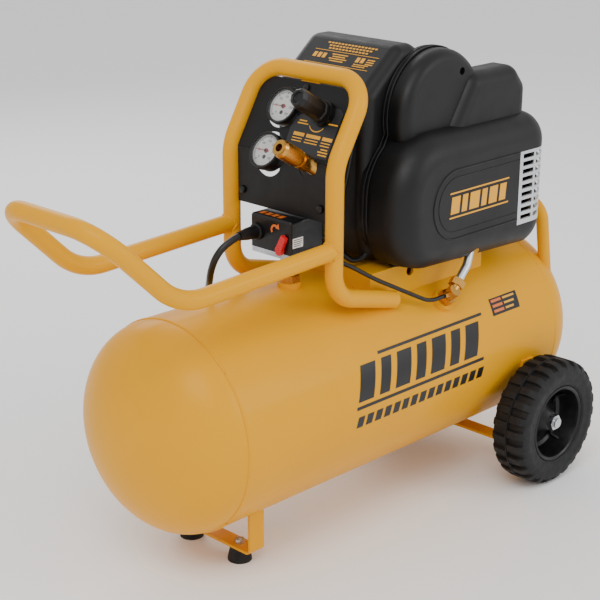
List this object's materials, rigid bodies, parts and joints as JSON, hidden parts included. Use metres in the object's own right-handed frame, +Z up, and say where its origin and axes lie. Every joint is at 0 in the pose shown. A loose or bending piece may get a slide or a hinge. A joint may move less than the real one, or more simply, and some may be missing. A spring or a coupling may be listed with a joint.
{
  "type": "air compressor",
  "caption": "Wheeled electric air compressor: horizontal receiver with tube handle, gauge panel, quick coupler, pressure switch and covered motor-pump unit.",
  "frame": {"origin": "on the ground plane under the middle of the machine (centre of the overall box, bottom)", "axes": "+Z up, +X along the tank from the lifting handle to the wheels, +Y to the far side from the pump cover"},
  "size_m": [0.9701, 0.5628, 0.6875],
  "materials": {
    "yellow_paint": "gloss powder coat",
    "black_cover": "satin moulded",
    "black_panel": "satin",
    "black_plastic": "satin moulded",
    "red_plastic": "gloss",
    "brass": "turned",
    "steel": "zinc plated",
    "aluminium": "as drawn",
    "cast_aluminium": "cast",
    "iron": "machined",
    "rubber": "matte",
    "tyre_rubber": "matte",
    "dial_white": "printed",
    "pointer_red": "painted",
    "lens": "clear",
    "cord_black": "matte jacket"
  },
  "bodies": {
    "compressor_frame": {"tank_shell": "yellow_paint", "tank_head_front": "yellow_paint", "tank_head_rear": "yellow_paint", "tank_bungs": "yellow_paint", "pump_saddle": "yellow_paint", "front_foot_bracket": "yellow_paint", "foot_pads": "rubber", "foot_screws": "steel", "axle_bracket": "yellow_paint", "axle_bolts": "steel", "control_loop": "yellow_paint", "rear_hoop": "yellow_paint", "handle": "yellow_paint", "panel_tabs": "yellow_paint", "control_panel": "black_panel", "panel_screws": "black_panel", "tank_gauge_case": "black_panel", "outlet_gauge_case": "black_panel", "gauge_dials": "dial_white", "gauge_lenses": "lens", "regulator_body": "black_plastic", "coupler_body": "brass", "switch_base": "steel", "switch_cover": "black_plastic", "cord_strain_relief": "black_plastic", "air_manifold": "brass", "safety_valve_body": "brass", "drain_valve_body": "steel", "motor_shroud": "black_cover", "pump_shroud": "black_cover", "cooling_grille": "aluminium", "shroud_screws": "steel", "motor_stator": "iron", "crankcase": "cast_aluminium", "pump_cylinder": "cast_aluminium", "cylinder_head": "cast_aluminium", "isolator_mounts": "rubber", "discharge_tube": "aluminium", "check_valve": "brass", "unloader_tube": "cord_black", "motor_lead": "cord_black", "regulator_hose": "cord_black", "power_cord": "cord_black", "cord_coil": "cord_black", "power_plug": "black_plastic"},
    "wheel_left": {"wheel_rim_left": "black_plastic", "tyre_left": "tyre_rubber"},
    "wheel_right": {"wheel_rim_right": "black_plastic", "tyre_right": "tyre_rubber"},
    "crankshaft": {"rotor_shaft": "steel", "cooling_fan": "black_plastic", "crank_eccentric": "iron"},
    "piston": {"wobble_piston": "cast_aluminium"},
    "regulator_grip": {"regulator_knob": "black_plastic"},
    "coupler_slider": {"coupler_sleeve": "brass"},
    "power_lever": {"switch_lever": "red_plastic"},
    "relief_ring": {"safety_valve_ring": "steel"},
    "drain_grip": {"drain_valve_knob": "black_plastic"},
    "tank_pointer": {"tank_gauge_needle": "pointer_red"},
    "outlet_pointer": {"outlet_gauge_needle": "pointer_red"}
  },
  "joints": [
    {"name": "left_wheel_spin", "type": "hinge", "parent": "compressor_frame", "child": "wheel_left", "pos_m": [0.313, -0.1908, 0.0995], "axis": [0, 1, 0], "continuous": true},
    {"name": "right_wheel_spin", "type": "hinge", "parent": "compressor_frame", "child": "wheel_right", "pos_m": [0.313, 0.1908, 0.0995], "axis": [0, 1, 0], "continuous": true},
    {"name": "motor_spin", "type": "hinge", "parent": "compressor_frame", "child": "crankshaft", "pos_m": [0.1123, 0, 0.467], "axis": [0, 1, 0], "continuous": true},
    {"name": "piston_stroke", "type": "slide", "parent": "compressor_frame", "child": "piston", "axis": [1, 0, 0], "range_m": [-0.022, 0]},
    {"name": "regulator_turn", "type": "hinge", "parent": "compressor_frame", "child": "regulator_grip", "pos_m": [-0.05979, -0.05, 0.62139], "axis": [-0.8616, 0, 0.5075], "range_deg": [-720, 720]},
    {"name": "coupler_sleeve_pull", "type": "slide", "parent": "compressor_frame", "child": "coupler_slider", "axis": [0.8616, 0, -0.5075], "range_m": [0, 0.005], "stiffness_N_per_m": 900},
    {"name": "power_lever_swing", "type": "hinge", "parent": "compressor_frame", "child": "power_lever", "pos_m": [-0.104, -0.027, 0.4285], "axis": [1, 0, 0], "range_deg": [-65, 0]},
    {"name": "relief_ring_pull", "type": "slide", "parent": "compressor_frame", "child": "relief_ring", "axis": [-1, 0, 0], "range_m": [0, 0.004], "stiffness_N_per_m": 900},
    {"name": "drain_knob_turn", "type": "hinge", "parent": "compressor_frame", "child": "drain_grip", "pos_m": [-0.085, 0, 0.0369], "axis": [1, 0, 0], "range_deg": [0, 360]},
    {"name": "tank_pointer_swing", "type": "hinge", "parent": "compressor_frame", "child": "tank_pointer", "pos_m": [-0.04565, 0.026, 0.6119], "axis": [-0.8616, 0, 0.5075], "range_deg": [-235, 35], "stiffness_Nm_per_rad": 0.0005},
    {"name": "outlet_pointer_swing", "type": "hinge", "parent": "compressor_frame", "child": "outlet_pointer", "pos_m": [-0.07915, 0.026, 0.55503], "axis": [-0.8616, 0, 0.5075], "range_deg": [-235, 35], "stiffness_Nm_per_rad": 0.0005}
  ]
}
